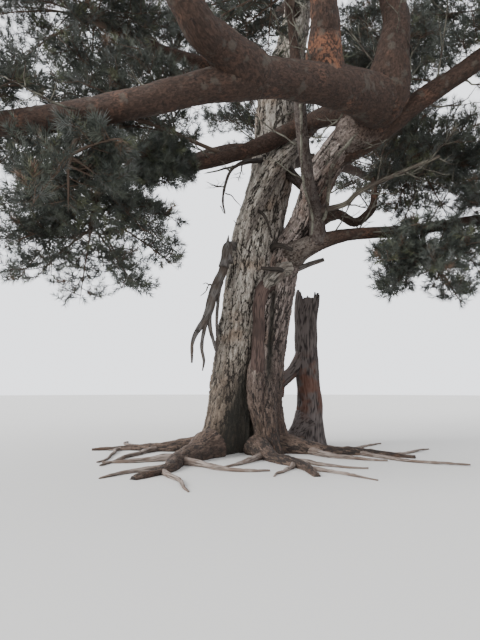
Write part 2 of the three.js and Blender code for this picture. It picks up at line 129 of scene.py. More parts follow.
def skin(name, route, step, relief, depth, span=(0, 1), swell=None, dent=None, lumps=0.04):
    """A closed tube along a route, with facets about a step wide, or one step round and another along.
    relief(spots) gives how high the bark stands, from 0 to 1, and a number for its plate. depth is how deep
    that is in metres, and lumps is how uneven the limb is, as a share of its radius."""
    around, run = (step, step) if isinstance(step, float) else step
    sides = max(8, round(2 * math.pi * route.radii.max() / around))
    rings = max(3, round(route.length * (span[1] - span[0]) / run))
    tube = bmesh.new()
    bmesh.ops.create_cone(tube, cap_ends=True, segments=sides, radius1=1, radius2=1, depth=1)
    long = [e for e in tube.edges if abs(e.verts[0].co.z - e.verts[1].co.z) > 0.5]
    bmesh.ops.subdivide_edges(tube, edges=long, cuts=rings - 1)
    mesh = bpy.data.meshes.new(name)
    tube.to_mesh(mesh)
    tube.free()
    corners = np.zeros(3 * len(mesh.vertices), np.float32)
    mesh.vertices.foreach_get("co", corners)
    x, y, z = corners.reshape(-1, 3).astype(float).T
    ring = np.round((z + 0.5) * rings).astype(int)
    shares = np.linspace(*span, rings + 1)
    along = route.along(shares)
    across = np.cross((0, 1, 0), along[0])
    across = across if np.linalg.norm(across) > 0.1 else np.array([1.0, 0, 0])
    frames = []
    for direction in along:
        across = across - direction * (across @ direction)
        across /= np.linalg.norm(across)
        frames.append(across)
    frames = np.array(frames)
    side = np.cross(frames, along)
    turn = np.arctan2(y, x)[:, None]
    out = frames[ring] * np.cos(turn) + side[ring] * np.sin(turn)
    share, middle = shares[ring], route.at(shares)[ring]
    radius = route.radius(shares)[ring]
    spots = np.column_stack([radius * np.cos(turn[:, 0]), radius * np.sin(turn[:, 0]), share * route.length])
    stands, plate = relief(spots)
    heading = np.degrees(np.arctan2(out[:, 1], out[:, 0]))
    reach = radius * (swell or collar(route))(share, heading, middle[:, 2])
    reach *= 1 + lumps * rough(spots * (1.6 / route.foot**0.5) + 7 * len(name))
    reach += depth * (stands - LEVEL)
    point = middle + out * reach[:, None]
    # how far the dent sinks each point, carried on so that the bark finish darkens the recess with painted
    # shade
    sunk_and_shaded = dent(point) if dent else np.zeros(len(point))
    point -= out * sunk_and_shaded[:, None]
    point[:, 2] = np.maximum(point[:, 2], 0)
    mesh.vertices.foreach_set("co", point.astype(np.float32).ravel())
    # painted shade: 0 where a facet faces the light and 1 where it faces away, carried on for the finishes to
    # darken
    painted_shade_side = 0.5 - 0.5 * out @ LIT
    carried = {"relief": stands, "plate": plate, "sunk_and_shaded": sunk_and_shaded, "painted_shade_side": painted_shade_side, "spots": spots}
    for label, values in carried.items():
        kind, field = ("FLOAT", "value") if values.ndim == 1 else ("FLOAT_VECTOR", "vector")
        made = mesh.attributes.new(label, kind, "POINT")
        made.data.foreach_set(field, values.astype(np.float32).ravel())
    mesh.shade_smooth()
    return shown(name, mesh)


def collar(route):
    """How a bough swells where it leaves its limb: by 0.35, fading over 1.5 times its foot's radius."""
    def swell(share, heading, height):
        beyond = np.maximum(0, share * route.length - route.buried)
        return 1 + 0.35 * np.exp(-beyond / (1.5 * route.foot))
    return swell


def flared(route, buttresses):
    """Buttresses at the ground, by heading, metres out, fading height and degrees wide, and long folds."""
    def swell(share, heading, height):
        folds = np.cos(np.radians(5 * (heading + 9 * height))) * np.exp(-height / 5)
        grown = 1 + 0.07 * folds + 0.035 * np.cos(np.radians(11 * (heading - 14 * height)))
        for towards, metres, fade, wide in buttresses:
            off = (heading - towards + 180) % 360 - 180
            grown += metres / route.radius(share) * np.exp(-((off / wide) ** 2)) * np.exp(-height / fade)
        return grown
    return swell


def plates(spots, size, gap, seed=0.0):
    """Bark plates of a size: how high each spot stands, from 0 in a crack to 1, and its plate's number."""
    places = spots / np.array(size) + seed
    places += 0.3 * drift(places * 1.4)
    found = [noise.voronoi(p) for p in places]
    apart = np.array([far[1] - far[0] for far, _ in found])
    owner = np.array([tuple(near[0]) for _, near in found])
    return np.clip(apart / gap, 0, 1), chance(np.round(owner @ (3.1, 7.3, 1.7), 2))


def trunk_bark(spots):
    """Upright plates, split again into smaller ones, on long strands with furrows between them."""
    coarse, number = plates(spots, (0.052, 0.052, 0.26), 0.3)
    fine, small = plates(spots, (0.027, 0.027, 0.11), 0.4, 5.0)
    strand = np.abs(rough(spots / (0.16, 0.16, 1.2)))
    stands = 0.45 * coarse + 0.27 * fine + 0.28 * np.clip(strand * 4, 0, 1)
    return stands, 0.6 * number + 0.4 * small


def hollow(point):
    """The hollow between the front buttresses, which narrows upwards to a fold; the bark darkens it with
    painted shade.
    """
    x, y, z = point.T
    off = (x + 0.02 - 0.155 * z) / np.maximum(0.38 - 0.14 * z, 0.09)
    return 0.19 * np.exp(-off**2) * np.clip(1.25 - z / 1.6, 0, 1) * (y < 0)


grow("stem_main", 0.5, [
    [0, 89, 1.3, 0.455], [0, 83, 1.41, 0.44], [0, 81, 1.28, 0.45], [0, 77, 0.83, 0.42], [0, 79, 0.84, 0.41],
    [0, 87, 1.3, 0.37], [8, 76, 1.55, 0.285], [19, 84, 1.51, 0.21], [194, 82, 1.51, 0.14],
    [200, 83, 1.31, 0.075]], start=(0, 0, 0))
leader = routes["stem_main"]
main_buttresses = [(238, 0.66, 0.75, 24), (184, 0.34, 0.5, 24), (118, 0.42, 0.55, 26), (62, 0.3, 0.5, 22)]
JOIN = 0.36   # the share of the leader at which finer facets give way to coarser ones
trunk = skin("trunk_bark", leader, (0.012, 0.0155), trunk_bark, 0.05, (0, JOIN),
             flared(leader, main_buttresses), hollow)
upper = skin("leader_bark", leader, (0.028, 0.037), trunk_bark, 0.05, (JOIN - 0.002, 1),
             flared(leader, main_buttresses))
# A thick fold of the trunk that climbs slantwise over its front, the healed-in foot of an old limb.
fold = skin("trunk_fold_bark", Route(
    [(0.2, -0.25, 3.3), (0.12, -0.34, 3.75), (0.2, -0.43, 4.2), (0.4, -0.53, 4.66), (0.64, -0.58, 5.1),
     (0.92, -0.54, 5.46), (1.17, -0.4, 5.78)],
    [0.06, 0.13, 0.18, 0.2, 0.21, 0.21, 0.15]), 0.02, trunk_bark, 0.045)


class Paint:
    """A socket in a material, so that its sums read as plain ones."""

    def __init__(self, tree, socket=None):
        self.tree, self.socket = tree, socket

    def node(self, kind, settings=None, values=None, out=0):
        made = self.tree.nodes.new(kind)
        for name, value in (settings or {}).items():
            setattr(made, name, value)
        for name, value in (values or {}).items():
            if isinstance(value, Paint):
                self.tree.links.new(value.socket, made.inputs[name])
            else:
                made.inputs[name].default_value = value
        return Paint(self.tree, made.outputs[out])

    def sum(self, operation, *terms):
        return self.node("ShaderNodeMath", {"operation": operation}, dict(enumerate(terms)))

    def __add__(self, other):
        return self.sum("ADD", self, other)

    def __sub__(self, other):
        return self.sum("SUBTRACT", self, other)

    def __rsub__(self, other):
        return self.sum("SUBTRACT", other, self)

    def __mul__(self, other):
        return self.sum("MULTIPLY", self, other)

    __radd__, __rmul__ = __add__, __mul__


def rising(value, low, high):
    """0 below low, 1 above high, and smooth between."""
    return value.node("ShaderNodeMapRange", {"interpolation_type": "SMOOTHSTEP"},
                      {"Value": value, "From Min": low, "From Max": high})


def mixed(mask, plain, other, **settings):
    """One colour going over to another by a mask, each a paint or three numbers."""
    below, above = (tone if isinstance(tone, Paint) else (*tone, 1) for tone in (plain, other))
    return mask.node("ShaderNodeMix", {"data_type": "RGBA", **settings}, {0: mask, 6: below, 7: above}, 2)


def shaded(mask, plain, tint):
    """A colour multiplied by a tint where the mask is 1."""
    return mixed(mask, plain, tint, blend_type="MULTIPLY")


def mottle(spots, scale, detail=3):
    """Noise round a half, in patches of about one over scale metres."""
    return spots.node("ShaderNodeTexNoise", {}, {"Vector": spots, "Scale": scale, "Detail": detail})


def stretched(spots, scale):
    return spots.node("ShaderNodeVectorMath", {"operation": "MULTIPLY"}, {0: spots, 1: scale})


def flakes(spots, size):
    """Flakes finer than the mesh: how far each point is from its flake's edge, and the flake's number."""
    wave = spots.node("ShaderNodeTexNoise", {}, {"Vector": spots, "Scale": 24, "Detail": 3}, 1)
    places = spots.node("ShaderNodeVectorMath", {"operation": "MULTIPLY_ADD"},
                        {0: spots, 1: [1 / metres for metres in size], 2: wave})
    cells = {"Vector": places, "Scale": 1}
    edge = places.node("ShaderNodeTexVoronoi", {"feature": "DISTANCE_TO_EDGE"}, cells)
    return edge, places.node("ShaderNodeTexVoronoi", {}, cells, 1)


def new_finish(name, *labels):
    """A material, and a paint for each attribute of the bark meshes that it reads."""
    finish = bpy.data.materials.new(name)
    finish.use_nodes = True
    base = Paint(finish.node_tree)
    read = [base.node("ShaderNodeAttribute", {"attribute_name": label}, out=1 if label == "spots" else 2)
            for label in labels]
    return finish, read


DRY = 0.3    # the specular level of bark, wood and needles


def settle(finish, colour, roughness, height, distance):
    """Links the finished colour, roughness and small relief to the surface."""
    shader = finish.node_tree.nodes["Principled BSDF"]
    bumped = height.node("ShaderNodeBump", {}, {"Height": height, "Distance": distance, "Strength": 0.7})
    for name, value in (("Base Color", colour), ("Roughness", roughness), ("Normal", bumped)):
        finish.node_tree.links.new(value.socket, shader.inputs[name])
    shader.inputs["Specular IOR Level"].default_value = DRY
    return finish


def third(spots):
    """The third number: a place's height, or how far along its limb a spot lies."""
    return spots.node("ShaderNodeSeparateXYZ", {}, {"Vector": spots}, 2)


def height_of(paint):
    """The height above the ground, since every piece stands at the origin."""
    return third(paint.node("ShaderNodeTexCoord", out=3))


def grey_bark(name, crack, dull, pale):
    """Plated bark: dark cracks, dull and pale flakes, lichen, darker and browner near the ground, and painted
    shade on the side away from the light and in the sunk hollow and crease.
    """
    finish, (relief, plate, sunk_and_shaded, painted_shade_side, spots) = new_finish(name, "relief", "plate", "sunk_and_shaded", "painted_shade_side", "spots")
    grain = mottle(stretched(spots, (1, 1, 0.35)), 90, 5)
    patch = mottle(spots, 1.7, 2)
    bloom = mottle(spots, 9, 4)
    streak = mottle(stretched(spots, (1, 1, 0.25)), 20, 3)
    edge, number = flakes(spots, (0.02, 0.02, 0.085))
    face = mixed(rising(number * 0.3 + plate * 0.4 + grain * 0.6, 0.35, 1.0), dull, pale)
    face = mixed(rising(bloom, 0.57, 0.68) * 0.4, face, (0.2, 0.21, 0.165))
    face = shaded(rising(patch, 0.5, 0.68) * 0.8, face, (0.78, 0.64, 0.55))
    face = shaded(rising(streak, 0.44, 0.62) * 0.68, face, (0.55, 0.515, 0.49))
    # painted shade: darker on the side that faces away from the light
    face = shaded(rising(painted_shade_side, 0.38, 0.7) * 0.8, face, (0.42, 0.39, 0.4))
    face = shaded(1 - rising(height_of(relief), 0.3, 3.3), face, (0.3, 0.25, 0.212))
    stands = rising(relief, 0.25, 0.72) * 0.6 + rising(edge, 0.02, 0.22) * 0.4
    colour = mixed(rising(stands + grain * 0.2, 0.3, 0.85), crack, face)
    # painted shade: nearly black where the hollow and the crease sink the bark
    colour = mixed(rising(sunk_and_shaded, 0.02, 0.11) * 0.85, colour, (0.02, 0.019, 0.015))
    return settle(finish, colour, 0.95 - 0.12 * grain, stands * 0.8 + grain * 0.5, 0.014)


def place(piece, finish, slot, *nodes):
    """A finished piece: its material, what carries it, and the solids that it stands for."""
    piece.data.materials.append(finish)
    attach(piece, "root")
    if nodes:
        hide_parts(*nodes)


trunk_finish = grey_bark("trunk bark", (0.02, 0.016, 0.013), (0.2, 0.175, 0.148), (0.6, 0.55, 0.475))
place(trunk, trunk_finish, "bark_grey", "trunk")
place(upper, trunk_finish, "bark_grey", "stem_main")
place(fold, trunk_finish, "bark_grey", "stem_main")


# The side stem: it stands fused to the trunk as far as the fork, and leans out to the right and forward.
# The same grey bark, with its own buttresses and a crease where the two stems touch, darkened with painted
# shade.
def crease(point):
    """The hollow, and above it the deep groove between the rib and the side stem, both darkened with painted
    shade by the bark.
    """
    x, y, z = point.T
    off = (x - 0.56 - 0.03 * z) / 0.085
    groove = 0.13 * np.exp(-off**2) * np.clip((z - 1.0) / 0.5, 0, 1) * np.clip((3.0 - z) / 0.2, 0, 1)
    return hollow(point) + groove * (y < 0)


grow("stem_side", 0.37, [
    [315, 88, 1.3, 0.33], [352, 81, 1.32, 0.335], [355, 77, 0.92, 0.3], [345, 59, 0.46, 0.27],
    [302, 45, 0.47, 0.265], [285, 43, 0.64, 0.26], [296, 34, 0.6, 0.25], [303, 21, 0.77, 0.25],
    [292, 12, 0.66, 0.27]], start=(0.45, -0.08, 0))
second = routes["stem_side"]
side_buttresses = [(286, 0.36, 0.5, 24), (338, 0.42, 0.28, 24), (30, 0.3, 0.28, 24)]
side = skin("side_stem_bark", second, (0.0155, 0.02), trunk_bark, 0.045,
            swell=flared(second, side_buttresses), dent=crease)
side_finish = grey_bark("side stem bark", (0.018, 0.014, 0.012), (0.15, 0.12, 0.106), (0.5, 0.42, 0.376))
place(side, side_finish, "bark_grey", "stem_side")


# The rib: an old limb that has grown on to the front of both stems, bare red-brown wood from a lumpy burl
# downwards, with a ridge of bark below it that runs to the ground.
def bare_wood(spots):
    """Long fine cracks and low knots."""
    crack = np.abs(rough(spots / (0.022, 0.022, 0.35)))
    knots = rough(spots / (0.08, 0.08, 0.16))
    return np.clip(0.25 + crack * 3, 0, 1) * 0.8 + 0.2 * knots, chance(np.round(spots[:, 2] * 3))


def weathered(name, pale, dark, warm, band=(-2, -1, 90, 91), foot=(-2, -1)):
    """Bare wood: pale ridges, dark cracks, and warmer in patches in a band of heights and at its foot."""
    finish, (relief, painted_shade_side, spots) = new_finish(name, "relief", "painted_shade_side", "spots")
    grain = mottle(stretched(spots, (1, 1, 0.08)), 90, 4)
    patch = mottle(spots, 3.1, 3)
    colour = mixed(rising(relief * 0.7 + grain * 0.5, 0.35, 0.85), dark, pale)
    height = height_of(relief)
    warmer = rising(patch, 0.42, 0.56) * rising(height, *band[:2]) * (1 - rising(height, *band[2:]))
    colour = mixed(warmer * 0.75, colour, warm)
    colour = mixed((1 - rising(third(spots), *foot)) * 0.9, colour, warm)
    # painted shade: darker on the side that faces away from the light
    colour = shaded(rising(painted_shade_side, 0.45, 0.8) * 0.6, colour, (0.5, 0.47, 0.47))
    return settle(finish, colour, 0.92 - 0.1 * grain, relief * 0.5 + grain * 0.5, 0.006)


rib = skin("rib_wood", Route(
    [(0.7, -0.3, 3.05), (0.5, -0.5, 2.9), (0.41, -0.53, 2.6), (0.39, -0.52, 2.2), (0.38, -0.51, 1.8),
     (0.36, -0.47, 1.5), (0.35, -0.36, 1.2)],
    [0.12, 0.12, 0.11, 0.105, 0.11, 0.12, 0.1]), 0.014, bare_wood, 0.025, lumps=0.22)
ridge = skin("ridge_bark", Route(
    [(0.42, -0.36, 1.85), (0.37, -0.41, 1.5), (0.34, -0.41, 1.15), (0.38, -0.4, 0.75), (0.46, -0.42, 0.3),
     (0.52, -0.42, 0.02)], [0.08, 0.15, 0.16, 0.15, 0.14, 0.12]), 0.014, trunk_bark, 0.04, lumps=0.15)
burl = skin("burl_bark", Route(
    [(0.92, -0.4, 3.26), (0.82, -0.5, 3.22), (0.7, -0.59, 3.12), (0.57, -0.61, 2.99), (0.47, -0.54, 2.84)],
    [0.1, 0.12, 0.125, 0.105, 0.05]), 0.013, trunk_bark, 0.06, lumps=0.6)
rib_finish = weathered("rib wood", (0.1, 0.066, 0.055), (0.024, 0.016, 0.013), (0.055, 0.036, 0.03))
place(rib, rib_finish, "bark_grey", "stem_side")
burl_finish = weathered("burl wood", (0.27, 0.245, 0.208), (0.03, 0.025, 0.02), (0.12, 0.094, 0.078))
place(burl, burl_finish, "bark_grey", "stem_side")
place(ridge, side_finish, "bark_grey", "stem_side")


# The surface roots: stout and bark-clad at the flare, lumpy and half sunk further out, with bare side roots
# that wander off along the ground. Nothing of them lies below the flat cut.
root_finish = weathered("bare root", (0.23, 0.19, 0.163), (0.045, 0.034, 0.028), (0.11, 0.076, 0.058))
for number, (name, start, foot, reaches) in enumerate((
    ("root_front_left", (-0.45, -0.75, 0.13), 0.22,
     [[245, -5, 0.95, 0.14], [263, -2, 0.7, 0.09], [240, -2, 0.65, 0.05]]),
    ("root_left", (-0.5, -0.05, 0.1), 0.18,
     [[186, -4, 0.8, 0.11], [168, -2, 0.75, 0.07], [188, -2, 0.6, 0.04]]),
    ("root_front", (0.35, -0.5, 0.1), 0.18,
     [[284, -4, 0.8, 0.11], [300, -2, 0.8, 0.08], [279, -2, 0.7, 0.045]]),
    ("root_right", (0.75, -0.25, 0.1), 0.19,
     [[338, -4, 0.75, 0.12], [350, -2, 0.8, 0.08], [331, -2, 0.75, 0.045]]),
    ("root_back", (0.7, 0.15, 0.12), 0.2, [[52, -4, 0.4, 0.17], [40, -4, 0.5, 0.15], [46, 0, 0.2, 0.14]]),
)):
    grow(name, foot, reaches, start=start)
    root = skin(name + "_bark", routes[name], 0.02, trunk_bark, 0.022, lumps=0.22)
    place(root, side_finish, "bark_grey", name)
    for k, share in enumerate((0.22, 0.42, 0.6, 0.76) if name != "root_back" else ()):
        seed = 10 * number + k
        ahead = routes[name].along(share)
        heading = math.degrees(math.atan2(ahead[1], ahead[0]))
        heading += (28 + 30 * chance(seed)) * (1 if k % 2 else -1)
        thick = 0.5 * routes[name].radius(share)
        points = [routes[name].at(share)]
        for step in range(6):
            heading += 44 * (chance(seed + 3 * step) - 0.5)
            points.append(points[-1] + 0.16 * (1 + chance(seed + 5)) * pointing(heading, 0))
            points[-1][2] = 0.35 * thick * (1 - step / 6) + 0.02 * chance(seed + step)
        line = Route(points, np.linspace(thick, 0.012, 7))
        side_root = skin("%s_side_%d" % (name, k + 1), line, 0.014, bare_wood, 0.012, lumps=0.2)
        place(side_root, root_finish, "bark_grey", name)


# The great arm and the boughs of the lower crown: thin red-brown bark that flakes off in papery scales,
# orange where it is fresh and grey where it has weathered. Each bough is one limb, thick at its foot.
def flaking_bark(spots):
    """Thin scales, a little longer than wide, on low furrows."""
    scales, number = plates(spots, (0.028, 0.028, 0.06), 0.22, 2.0)
    furrow = np.abs(rough(spots / (0.09, 0.09, 0.5)))
    return 0.65 * scales**0.6 + 0.35 * np.clip(furrow * 4, 0, 1), number


def red_bark(name, foot=(-2, -1), old=(0.15, 0.128, 0.11), shed=0.5, fresh=(0.105, 0.052, 0.033)):
    """Thin bark: dull brown, darker in the cracks, foxy red in patches where a scale has just gone, and older
    and greyer for some way from its foot."""
    finish, (relief, painted_shade_side, spots) = new_finish(name, "relief", "painted_shade_side", "spots")
    grain = mottle(stretched(spots, (1, 1, 0.5)), 80, 5)
    patch = mottle(spots, 2.1, 4)
    bloom = mottle(spots, 6, 4)
    edge, number = flakes(spots, (0.02, 0.02, 0.036))
    scale = rising(number * 0.45 + grain * 0.6, 0.3, 0.85)
    face = mixed(scale, (0.022, 0.0135, 0.0095), (0.062, 0.0355, 0.0245))
    gone = rising(patch, shed + 0.02, shed + 0.16) * rising(number * 0.7 + grain * 0.7, 0.45, 0.95)
    face = mixed(gone, face, fresh)
    face = mixed(rising(bloom, 0.57, 0.68) * 0.5, face, (0.075, 0.068, 0.055))
    older = rising(number * 0.4 + grain * 0.5 + bloom * 0.5, 0.45, 0.95)
    face = mixed((1 - rising(third(spots), *foot)) * older, face, old)
    # painted shade: darker on the side that faces away from the light
    face = shaded(rising(painted_shade_side, 0.45, 0.85) * 0.5, face, (0.5, 0.48, 0.5))
    stands = rising(relief, 0.15, 0.6) * 0.6 + rising(edge, 0.02, 0.2) * 0.4
    colour = mixed(rising(stands + grain * 0.2, 0.2, 0.75), (0.012, 0.008, 0.007), face)
    return settle(finish, colour, 0.92 - 0.12 * grain, stands * 0.7 + grain * 0.5, 0.009)


red_finish = red_bark("flaking red bark")
own_finish = {
    "bough_right_low": red_bark("low bough bark", (0.5, 1.1)),
    "bough_upright": red_bark("upright bough bark", (2.2, 3.2), (0.085, 0.072, 0.065), 0.8),
    "bough_front_rise": red_bark("fresh red bark", shed=0.38, fresh=(0.17, 0.072, 0.038)),
}
for name, on, foot, reaches in (
    ("stem_front", ("stem_side", 0.98), 0.24,
     [[293, 74, 0.62, 0.2], [2, 84, 0.56, 0.185], [165, 81, 1.28, 0.14], [127, 77, 1.13, 0.08]]),
    ("arm_front", ("stem_side", 0.96), 0.27,
     [[222, -12, 1.05, 0.27], [214, -14, 0.82, 0.235], [211, -16, 0.71, 0.225]]),
    ("bough_over", ("arm_front", 0.96), 0.2,
     [[225, 10, 0.6, 0.19], [231, 9, 0.4, 0.175], [225, 47, 0.93, 0.13], [220, 53, 0.76, 0.09]]),
    ("bough_front_left", ("arm_front", 0.97), 0.175,
     [[194, -22, 0.9, 0.165], [184, -16, 0.87, 0.155], [175, -6, 1.11, 0.14], [165, 6, 0.81, 0.09]]),
    ("bough_front_rise", ("arm_front", 0.52), 0.2,
     [[258, 75, 0.57, 0.18], [263, 69, 0.28, 0.17], [243, 71, 1.17, 0.11], [231, 66, 0.98, 0.07]]),
    ("bough_left_mid", ("stem_side", 0.91), 0.17,
     [[125, 30, 0.81, 0.165], [133, 8, 0.69, 0.155], [172, -23, 0.74, 0.15], [187, -23, 0.83, 0.115],
      [192, -19, 0.78, 0.1], [193, -16, 0.91, 0.085]]),
    ("bough_right_high", ("stem_side", 0.8), 0.18,
     [[326, 11, 0.72, 0.165], [326, 26, 0.8, 0.15], [331, 24, 0.92, 0.13], [343, 37, 1.24, 0.08]]),
    ("bough_right_low", ("stem_side", 0.5), 0.19,
     [[315, 12, 0.7, 0.15], [350, 13, 0.62, 0.105], [358, 4, 1.16, 0.095], [354, 8, 1.15, 0.075]]),
    ("bough_upright", ("bough_right_low", 0.22), 0.12,
     [[251, 60, 0.56, 0.11], [250, 26, 0.47, 0.1], [247, 54, 0.47, 0.095], [248, 64, 0.49, 0.095],
      [253, 71, 0.63, 0.09], [227, 81, 1.3, 0.06]]),
    ("bough_inner", ("stem_main", 0.39), 0.15,
     [[295, 45, 0.66, 0.13], [3, 45, 0.59, 0.12], [23, 48, 1.15, 0.1], [34, 41, 1.2, 0.07]]),
    ("bough_hook", ("bough_upright", 0.09), 0.08,
     [[25, 26, 0.5, 0.085], [29, -11, 0.42, 0.08], [17, 38, 0.44, 0.075], [25, 73, 0.39, 0.06]]),
):
    grow(name, foot, reaches, on=on)
    bough = skin(name + "_bark", routes[name], 0.02, flaking_bark, 0.014, lumps=0.09)
    place(bough, own_finish.get(name, red_finish), "bark_orange", name)
# The knuckle, a swollen burr where the side stem ends and the arm, the front stem and a high bough part.
knuckle = skin("knuckle_bark", Route(
    np.vstack([second.at(np.array([0.84, 0.9, 0.96, 1.0])), second.at(1.0) + 0.16 * second.along(1.0)]),
    [0.2, 0.29, 0.33, 0.3, 0.12]), 0.02, flaking_bark, 0.03, lumps=0.3)
place(knuckle, red_bark("burr bark", (0.25, 0.65), (0.17, 0.138, 0.12)), "bark_orange", "arm_front")
inner_snag = skin("inner_snag_bark", Route(
    [(0.8, 0.1, 5.4), (0.96, -0.1, 5.3), (1.07, -0.3, 5.11), (1.24, -0.4, 4.89)],
    [0.13, 0.12, 0.1, 0.085]), 0.02, flaking_bark, 0.02, lumps=0.2)
place(inner_snag, own_finish["bough_upright"], "bark_orange", "bough_inner")


# The boughs behind and above: the same red bark, each rising from the leader to carry one mass of the crown.
for name, share, foot, reaches in (
    ("bough_back", 0.33, 0.19, [[81, 43, 1.3, 0.165], [84, 52, 1.7, 0.13], [92, 40, 1.5, 0.09]]),
    ("bough_back_left", 0.45, 0.17, [[142, 20, 1.35, 0.15], [139, 8, 1.6, 0.12], [145, 10, 1.25, 0.08]]),
    ("bough_back_right", 0.44, 0.17, [[43, 19, 1.24, 0.14], [45, 12, 1.45, 0.11], [53, 11, 1.02, 0.08]]),
    ("bough_left_high", 0.54, 0.16, [[186, 31, 1.06, 0.14], [189, 13, 1.35, 0.11], [190, 19, 1.19, 0.075]]),
    ("bough_back_left_high", 0.6, 0.13, [[147, 30, 1.1, 0.11], [150, 12, 1.0, 0.09], [141, 16, 0.85, 0.065]]),
    ("bough_right_back_high", 0.61, 0.14,
     [[28, 24, 1.09, 0.12], [29, 22, 1.11, 0.09], [27, 36, 0.83, 0.065]]),
    ("bough_front_high", 0.68, 0.13, [[252, 20, 1.08, 0.11], [248, 25, 1.19, 0.085], [251, 39, 0.81, 0.06]]),
    ("bough_back_high", 0.73, 0.12, [[114, 24, 1.09, 0.1], [114, 22, 1.06, 0.075], [112, 36, 0.67, 0.055]]),
    ("bough_crown_left", 0.82, 0.1, [[192, 29, 1.04, 0.085], [193, 24, 1.01, 0.06]]),
    ("bough_crown_right", 0.86, 0.1, [[346, 28, 0.81, 0.08], [352, 23, 0.77, 0.06]]),
):
    grow(name, foot, reaches, on=("stem_main", share))
    bough = skin(name + "_bark", routes[name], 0.035, flaking_bark, 0.012)
    place(bough, red_finish, "bark_orange", name)


# The dead limbs: bare grey wood with long cracks, thin and broken at the ends. The one that hangs beside the
# trunk is splintered at its elbow and ends in prongs. Short dark snags stand out of both stems.
dead_finish = weathered("dead grey wood", (0.125, 0.113, 0.104), (0.026, 0.022, 0.019),
                        (0.075, 0.055, 0.042))
old_finish = weathered("dead lichened wood", (0.15, 0.136, 0.105), (0.03, 0.024, 0.018),
                       (0.055, 0.04, 0.033), foot=(0.15, 0.5))
for name, on, foot, reaches in (
    ("dead_branch_right", ("bough_upright", 0.14), 0.05,
     [[336, 6, 0.51, 0.045], [340, 35, 0.36, 0.04], [350, 22, 0.92, 0.032], [346, 19, 0.44, 0.022]]),
    ("dead_branch_left", ("stem_main", 0.44), 0.045,
     [[224, -20, 0.76, 0.045], [203, -31, 0.38, 0.03], [196, -66, 0.32, 0.024], [181, -81, 0.35, 0.02],
      [0, -81, 0.25, 0.012]]),
    ("dead_limb_hanging", ("stem_main", 0.28), 0.08,
     [[217, 17, 0.62, 0.06], [215, -76, 0.47, 0.08], [199, -68, 0.48, 0.09], [189, -75, 0.47, 0.075],
      [193, -60, 0.47, 0.035], [175, -86, 0.44, 0.018]]),
    ("dead_stub_right", ("stem_side", 0.45), 0.05, [[350, 22, 0.55, 0.046], [356, 18, 0.34, 0.036]]),
):
    grow(name, foot, reaches, on=on)
    limb = skin(name + "_wood", routes[name], 0.013, bare_wood, 0.014, lumps=0.16)
    place(limb, old_finish if name == "dead_branch_right" else dead_finish, "dead_wood", name)
for name, points, radii in (
    ("hanging_spike_left",
     [(-0.24, -0.48, 3.3), (-0.19, -0.45, 3.6), (-0.15, -0.42, 3.92)], [0.075, 0.06, 0.006]),
    ("hanging_spike_right",
     [(-0.16, -0.45, 3.4), (-0.12, -0.43, 3.65), (-0.07, -0.42, 3.84)], [0.07, 0.045, 0.005]),
    ("hanging_prong_middle",
     [(-0.52, -0.5, 2.45), (-0.58, -0.5, 2.15), (-0.62, -0.5, 1.85), (-0.58, -0.5, 1.6), (-0.6, -0.5, 1.42)],
     [0.045, 0.036, 0.032, 0.024, 0.01]),
    ("hanging_prong_right",
     [(-0.5, -0.48, 2.4), (-0.47, -0.47, 2.15), (-0.4, -0.45, 1.9), (-0.38, -0.42, 1.78)],
     [0.042, 0.034, 0.028, 0.015]),
    ("hanging_branch",
     [(-0.28, -0.42, 3.05), (-0.33, -0.42, 2.8), (-0.36, -0.42, 2.3), (-0.35, -0.4, 1.9),
      (-0.38, -0.4, 1.62)],
     [0.035, 0.032, 0.027, 0.022, 0.008]),
):
    prong = skin(name + "_wood", Route(points, radii), 0.012, bare_wood, 0.01, lumps=0.15)
    place(prong, dead_finish, "dead_wood", "dead_limb_hanging")
snag_finish = weathered("dark snag wood", (0.042, 0.034, 0.028), (0.01, 0.008, 0.006), (0.03, 0.022, 0.017))
for name, points, radii in (
    ("snag_on_trunk", [(0.3, -0.35, 4.42), (0.4, -0.6, 4.32), (0.53, -0.66, 4.15), (0.64, -0.6, 3.8)],
     [0.034, 0.034, 0.024, 0.012]),
    ("snag_at_crotch", [(0.66, -0.4, 3.7), (0.75, -0.62, 3.67), (0.87, -0.68, 3.62), (1.0, -0.62, 3.58)],
     [0.05, 0.05, 0.042, 0.03]),
    ("snag_on_burl", [(0.86, -0.4, 3.2), (0.78, -0.72, 3.19), (0.6, -0.82, 3.18), (0.42, -0.83, 3.19)],
     [0.04, 0.042, 0.036, 0.028]),
):
    snag = skin(name, Route(points, radii), 0.012, bare_wood, 0.012, lumps=0.2)
    place(snag, snag_finish, "dead_wood", "stem_main" if name == "snag_on_trunk" else "stem_side")


# The broken stem beside the trunk: a dead stem that snapped at about 3 m and stands hollow, its torn edge in
# splinters, with a heavy curved spur on its side. Dark weathered wood, red where the bark has gone.
broken_finish = weathered("broken stem wood", (0.094, 0.077, 0.071), (0.016, 0.012, 0.011),
                          (0.1, 0.043, 0.028), (0.4, 0.8, 1.5, 1.9))
grow("broken_stem", 0.27, [
    [0, 89, 0.88, 0.235], [180, 88, 0.91, 0.225], [0, 90, 0.73, 0.235],
    [0, 83, 0.5, 0.24]], start=(1.45, 0.9, 0))
grow("broken_spur", 0.1, [[196, -62, 0.55, 0.13], [190, -42, 0.42, 0.13], [185, -80, 0.28, 0.11]],
     on=("broken_stem", 0.66))


